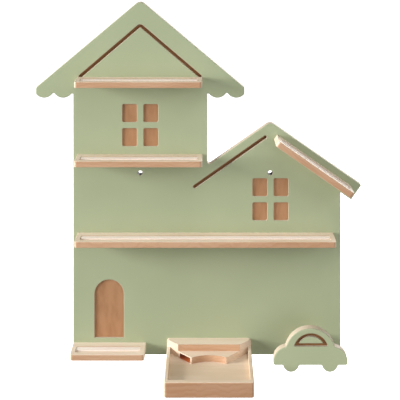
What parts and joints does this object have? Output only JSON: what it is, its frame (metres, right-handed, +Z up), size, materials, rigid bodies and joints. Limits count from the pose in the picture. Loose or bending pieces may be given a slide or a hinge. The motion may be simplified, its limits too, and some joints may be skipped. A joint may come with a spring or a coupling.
{
  "type": "wall-mounted doll's house shelf",
  "caption": "Flat wooden doll's house for a wall: a painted panel cut as two joined houses, with narrow figure ledges, a pocketed tray and a small car hook on its front.",
  "frame": {"origin": "midway between the two wall holes, on the back face that lies against the wall", "axes": "+X to the viewer's right along the wall, +Z up, front faces -Y, wall behind at +Y"},
  "size_m": [0.5528, 0.145, 0.6056],
  "materials": {
    "painted_panel": "matt paint, bare edges",
    "pale_wood": "sanded, oiled",
    "hidden_wood": "sanded",
    "strip_steel": "satin, off-white",
    "screw_steel": "zinc plated"
  },
  "bodies": {
    "root": {"back_panel": "painted_panel", "attic_ledge": "pale_wood", "upper_ledge": "pale_wood", "long_ledge": "pale_wood", "door_ledge": "pale_wood", "roof_ledge": "pale_wood", "attic_strip": "strip_steel", "upper_strip": "strip_steel", "long_strip": "strip_steel", "door_strip": "strip_steel", "roof_strip": "strip_steel", "charging_tray": "pale_wood", "car_plate": "painted_panel", "car_spacer": "hidden_wood", "car_dowels": "hidden_wood", "attic_ledge_screws": "screw_steel", "upper_ledge_screws": "screw_steel", "long_ledge_screws": "screw_steel", "door_ledge_screws": "screw_steel", "roof_ledge_screws": "screw_steel", "tray_screws": "screw_steel", "car_screws": "screw_steel"}
  },
  "joints": []
}
